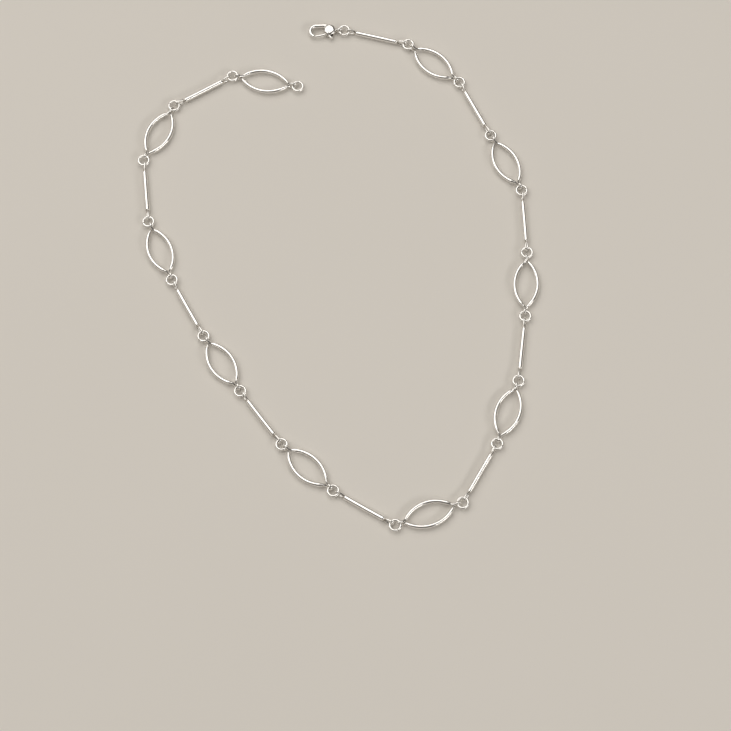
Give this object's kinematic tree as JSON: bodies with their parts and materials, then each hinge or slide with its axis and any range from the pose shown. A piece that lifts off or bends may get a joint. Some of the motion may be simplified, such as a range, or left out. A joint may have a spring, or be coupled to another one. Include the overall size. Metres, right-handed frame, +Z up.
{
  "type": "chain necklace",
  "caption": "Silver chain necklace of open marquise links and straight bar links, jump ringed, with a claw clasp.",
  "frame": {"origin": "middle of the laid loop's bounding box, on the surface that the necklace lies on", "axes": "+Z up from the surface, +Y from the pendant side of the loop towards the clasp, +X to the right"},
  "size_m": [0.1439, 0.1946, 0.0029],
  "materials": {
    "polished_silver": "polished silver",
    "clasp_steel": "spring steel"
  },
  "bodies": {
    "marquise_link_01": {"marquise_link_01": "polished_silver"},
    "bar_link_01": {"bar_link_01": "polished_silver"},
    "marquise_link_02": {"marquise_link_02": "polished_silver"},
    "bar_link_02": {"bar_link_02": "polished_silver"},
    "marquise_link_03": {"marquise_link_03": "polished_silver"},
    "bar_link_03": {"bar_link_03": "polished_silver"},
    "marquise_link_04": {"marquise_link_04": "polished_silver"},
    "bar_link_04": {"bar_link_04": "polished_silver"},
    "marquise_link_05": {"marquise_link_05": "polished_silver"},
    "bar_link_05": {"bar_link_05": "polished_silver"},
    "marquise_link_06": {"marquise_link_06": "polished_silver"},
    "bar_link_06": {"bar_link_06": "polished_silver"},
    "marquise_link_07": {"marquise_link_07": "polished_silver"},
    "bar_link_07": {"bar_link_07": "polished_silver"},
    "marquise_link_08": {"marquise_link_08": "polished_silver"},
    "bar_link_08": {"bar_link_08": "polished_silver"},
    "marquise_link_09": {"marquise_link_09": "polished_silver"},
    "bar_link_09": {"bar_link_09": "polished_silver"},
    "marquise_link_10": {"marquise_link_10": "polished_silver"},
    "bar_link_10": {"bar_link_10": "polished_silver"},
    "catch_ring": {"catch_ring": "polished_silver"},
    "jump_ring_01": {"jump_ring_01": "polished_silver"},
    "jump_ring_02": {"jump_ring_02": "polished_silver"},
    "jump_ring_03": {"jump_ring_03": "polished_silver"},
    "jump_ring_04": {"jump_ring_04": "polished_silver"},
    "jump_ring_05": {"jump_ring_05": "polished_silver"},
    "jump_ring_06": {"jump_ring_06": "polished_silver"},
    "jump_ring_07": {"jump_ring_07": "polished_silver"},
    "jump_ring_08": {"jump_ring_08": "polished_silver"},
    "jump_ring_09": {"jump_ring_09": "polished_silver"},
    "jump_ring_10": {"jump_ring_10": "polished_silver"},
    "jump_ring_11": {"jump_ring_11": "polished_silver"},
    "jump_ring_12": {"jump_ring_12": "polished_silver"},
    "jump_ring_13": {"jump_ring_13": "polished_silver"},
    "jump_ring_14": {"jump_ring_14": "polished_silver"},
    "jump_ring_15": {"jump_ring_15": "polished_silver"},
    "jump_ring_16": {"jump_ring_16": "polished_silver"},
    "jump_ring_17": {"jump_ring_17": "polished_silver"},
    "jump_ring_18": {"jump_ring_18": "polished_silver"},
    "jump_ring_19": {"jump_ring_19": "polished_silver"},
    "clasp_ring": {"clasp_ring": "polished_silver"},
    "clasp": {"clasp_body": "polished_silver", "clasp_rivet": "polished_silver", "clasp_spring": "clasp_steel"},
    "clasp_lever": {"clasp_lever": "polished_silver"}
  },
  "joints": [
    {"name": "jump_ring_11_tilt", "type": "hinge", "parent": "marquise_link_06", "child": "jump_ring_11", "pos_m": [0.04169, -0.08748, 0.00145], "axis": [-0.3256, 0.9455, 0], "range_deg": [-70, 70]},
    {"name": "bar_link_06_swing", "type": "hinge", "parent": "jump_ring_11", "child": "bar_link_06", "pos_m": [0.04344, -0.08688, 0.00145], "axis": [0, 0, 1], "range_deg": [-115, 10]},
    {"name": "jump_ring_12_tilt", "type": "hinge", "parent": "bar_link_06", "child": "jump_ring_12", "pos_m": [0.05466, -0.06743, 0.00145], "axis": [0.866, -0.5, 0], "range_deg": [-70, 70]},
    {"name": "marquise_link_07_swing", "type": "hinge", "parent": "jump_ring_12", "child": "marquise_link_07", "pos_m": [0.05559, -0.06583, 0.00145], "axis": [0, 0, -1], "range_deg": [-9, 85]},
    {"name": "jump_ring_13_tilt", "type": "hinge", "parent": "marquise_link_07", "child": "jump_ring_13", "pos_m": [0.0629, -0.0446, 0.00145], "axis": [-0.9455, 0.3256, 0], "range_deg": [-70, 70]},
    {"name": "bar_link_07_swing", "type": "hinge", "parent": "jump_ring_13", "child": "bar_link_07", "pos_m": [0.0635, -0.04286, 0.00145], "axis": [0, 0, 1], "range_deg": [-85, 7]},
    {"name": "jump_ring_14_tilt", "type": "hinge", "parent": "bar_link_07", "child": "jump_ring_14", "pos_m": [0.06623, -0.02057, 0.00145], "axis": [0.9925, -0.1219, 0], "range_deg": [-70, 70]},
    {"name": "marquise_link_08_swing", "type": "hinge", "parent": "jump_ring_14", "child": "marquise_link_08", "pos_m": [0.06646, -0.01874, 0.00145], "axis": [0, 0, -1], "range_deg": [-7, 75]},
    {"name": "jump_ring_15_tilt", "type": "hinge", "parent": "marquise_link_08", "child": "jump_ring_15", "pos_m": [0.06763, 0.00368, 0.00145], "axis": [-0.9986, 0.0523, 0], "range_deg": [-70, 70]},
    {"name": "bar_link_08_swing", "type": "hinge", "parent": "jump_ring_15", "child": "bar_link_08", "pos_m": [0.06773, 0.00553, 0.00145], "axis": [0, 0, 1], "range_deg": [-80, 9]},
    {"name": "jump_ring_16_tilt", "type": "hinge", "parent": "bar_link_08", "child": "jump_ring_16", "pos_m": [0.06656, 0.02795, 0.00145], "axis": [0.9986, 0.0523, 0], "range_deg": [-70, 70]},
    {"name": "marquise_link_09_swing", "type": "hinge", "parent": "jump_ring_16", "child": "marquise_link_09", "pos_m": [0.06646, 0.0298, 0.00145], "axis": [0, 0, -1], "range_deg": [-10, 95]},
    {"name": "jump_ring_17_tilt", "type": "hinge", "parent": "marquise_link_09", "child": "jump_ring_17", "pos_m": [0.05662, 0.04997, 0.00145], "axis": [-0.8988, -0.4384, 0], "range_deg": [-70, 70]},
    {"name": "bar_link_09_swing", "type": "hinge", "parent": "jump_ring_17", "child": "bar_link_09", "pos_m": [0.05581, 0.05164, 0.00145], "axis": [0, 0, 1], "range_deg": [-75, 13]},
    {"name": "jump_ring_18_tilt", "type": "hinge", "parent": "bar_link_09", "child": "jump_ring_18", "pos_m": [0.04561, 0.07164, 0.00145], "axis": [0.891, 0.454, 0], "range_deg": [-70, 70]},
    {"name": "marquise_link_10_swing", "type": "hinge", "parent": "jump_ring_18", "child": "marquise_link_10", "pos_m": [0.04477, 0.07329, 0.00145], "axis": [0, 0, -1], "range_deg": [-16, 95]},
    {"name": "jump_ring_19_tilt", "type": "hinge", "parent": "marquise_link_10", "child": "jump_ring_19", "pos_m": [0.02758, 0.08772, 0.00145], "axis": [-0.6428, -0.766, 0], "range_deg": [-70, 70]},
    {"name": "bar_link_10_swing", "type": "hinge", "parent": "jump_ring_19", "child": "bar_link_10", "pos_m": [0.02616, 0.08891, 0.00145], "axis": [0, 0, 1], "range_deg": [-100, 45]},
    {"name": "clasp_ring_tilt", "type": "hinge", "parent": "bar_link_10", "child": "clasp_ring", "pos_m": [0.00438, 0.09434, 0.00145], "axis": [0.2419, 0.9703, 0], "range_deg": [-70, 70]},
    {"name": "clasp_swing", "type": "hinge", "parent": "clasp_ring", "child": "clasp", "pos_m": [0.00258, 0.09479, 0.00145], "axis": [0, 0, -1], "range_deg": [-55, 90]},
    {"name": "jump_ring_10_tilt", "type": "hinge", "parent": "marquise_link_06", "child": "jump_ring_10", "pos_m": [0.02221, -0.09419, 0.00145], "axis": [-0.3256, 0.9455, 0], "range_deg": [-70, 70]},
    {"name": "bar_link_05_swing", "type": "hinge", "parent": "jump_ring_10", "child": "bar_link_05", "pos_m": [0.02046, -0.09479, 0.00145], "axis": [0, 0, 1], "range_deg": [-15, 120]},
    {"name": "jump_ring_09_tilt", "type": "hinge", "parent": "bar_link_05", "child": "jump_ring_09", "pos_m": [0.00102, -0.08356, 0.00145], "axis": [-0.5, -0.866, 0], "range_deg": [-70, 70]},
    {"name": "marquise_link_05_swing", "type": "hinge", "parent": "jump_ring_09", "child": "marquise_link_05", "pos_m": [-0.00058, -0.08264, 0.00145], "axis": [0, 0, -1], "range_deg": [-85, 19]},
    {"name": "jump_ring_08_tilt", "type": "hinge", "parent": "marquise_link_05", "child": "jump_ring_08", "pos_m": [-0.017, -0.06733, 0.00145], "axis": [0.682, 0.7314, 0], "range_deg": [-70, 70]},
    {"name": "bar_link_04_swing", "type": "hinge", "parent": "jump_ring_08", "child": "bar_link_04", "pos_m": [-0.01836, -0.06606, 0.00145], "axis": [0, 0, 1], "range_deg": [-25, 85]},
    {"name": "jump_ring_07_tilt", "type": "hinge", "parent": "bar_link_04", "child": "jump_ring_07", "pos_m": [-0.03187, -0.04814, 0.00145], "axis": [-0.7986, -0.6018, 0], "range_deg": [-70, 70]},
    {"name": "marquise_link_04_swing", "type": "hinge", "parent": "jump_ring_07", "child": "marquise_link_04", "pos_m": [-0.03298, -0.04666, 0.00145], "axis": [0, 0, -1], "range_deg": [-75, 35]},
    {"name": "jump_ring_06_tilt", "type": "hinge", "parent": "marquise_link_04", "child": "jump_ring_06", "pos_m": [-0.04521, -0.02783, 0.00145], "axis": [0.8387, 0.5446, 0], "range_deg": [-70, 70]},
    {"name": "bar_link_03_swing", "type": "hinge", "parent": "jump_ring_06", "child": "bar_link_03", "pos_m": [-0.04621, -0.02628, 0.00145], "axis": [0, 0, 1], "range_deg": [-70, 75]},
    {"name": "jump_ring_05_tilt", "type": "hinge", "parent": "bar_link_03", "child": "jump_ring_05", "pos_m": [-0.0571, -0.00664, 0.00145], "axis": [-0.8746, -0.4848, 0], "range_deg": [-70, 70]},
    {"name": "marquise_link_03_swing", "type": "hinge", "parent": "jump_ring_05", "child": "marquise_link_03", "pos_m": [-0.058, -0.00502, 0.00145], "axis": [0, 0, -1], "range_deg": [-80, 65]},
    {"name": "jump_ring_04_tilt", "type": "hinge", "parent": "marquise_link_03", "child": "jump_ring_04", "pos_m": [-0.06641, 0.01579, 0.00145], "axis": [0.9272, 0.3746, 0], "range_deg": [-70, 70]},
    {"name": "bar_link_02_swing", "type": "hinge", "parent": "jump_ring_04", "child": "bar_link_02", "pos_m": [-0.0671, 0.01751, 0.00145], "axis": [0, 0, 1], "range_deg": [-55, 90]},
    {"name": "jump_ring_03_tilt", "type": "hinge", "parent": "bar_link_02", "child": "jump_ring_03", "pos_m": [-0.06945, 0.03983, 0.00145], "axis": [-0.9945, -0.1045, 0], "range_deg": [-70, 70]},
    {"name": "marquise_link_02_swing", "type": "hinge", "parent": "jump_ring_03", "child": "marquise_link_02", "pos_m": [-0.06964, 0.04167, 0.00145], "axis": [0, 0, -1], "range_deg": [-105, 40]},
    {"name": "jump_ring_02_tilt", "type": "hinge", "parent": "marquise_link_02", "child": "jump_ring_02", "pos_m": [-0.06015, 0.06202, 0.00145], "axis": [0.9063, -0.4226, 0], "range_deg": [-70, 70]},
    {"name": "bar_link_01_swing", "type": "hinge", "parent": "jump_ring_02", "child": "bar_link_01", "pos_m": [-0.05937, 0.0637, 0.00145], "axis": [0, 0, 1], "range_deg": [-40, 110]},
    {"name": "jump_ring_01_tilt", "type": "hinge", "parent": "bar_link_01", "child": "jump_ring_01", "pos_m": [-0.03993, 0.07492, 0.00145], "axis": [-0.5, 0.866, 0], "range_deg": [-70, 70]},
    {"name": "marquise_link_01_swing", "type": "hinge", "parent": "jump_ring_01", "child": "marquise_link_01", "pos_m": [-0.03832, 0.07585, 0.00145], "axis": [0, 0, -1], "range_deg": [-115, 35]},
    {"name": "catch_ring_tilt", "type": "hinge", "parent": "marquise_link_01", "child": "catch_ring", "pos_m": [-0.01622, 0.07195, 0.00145], "axis": [-0.1736, -0.9848, 0], "range_deg": [-70, 70]},
    {"name": "clasp_lever_turn", "type": "hinge", "parent": "clasp", "child": "clasp_lever", "pos_m": [-0.00357, 0.09332, 0.00145], "axis": [0, 0, -1], "range_deg": [0, 22], "stiffness_Nm_per_rad": 0.0005, "deforming": ["clasp_spring"]}
  ]
}
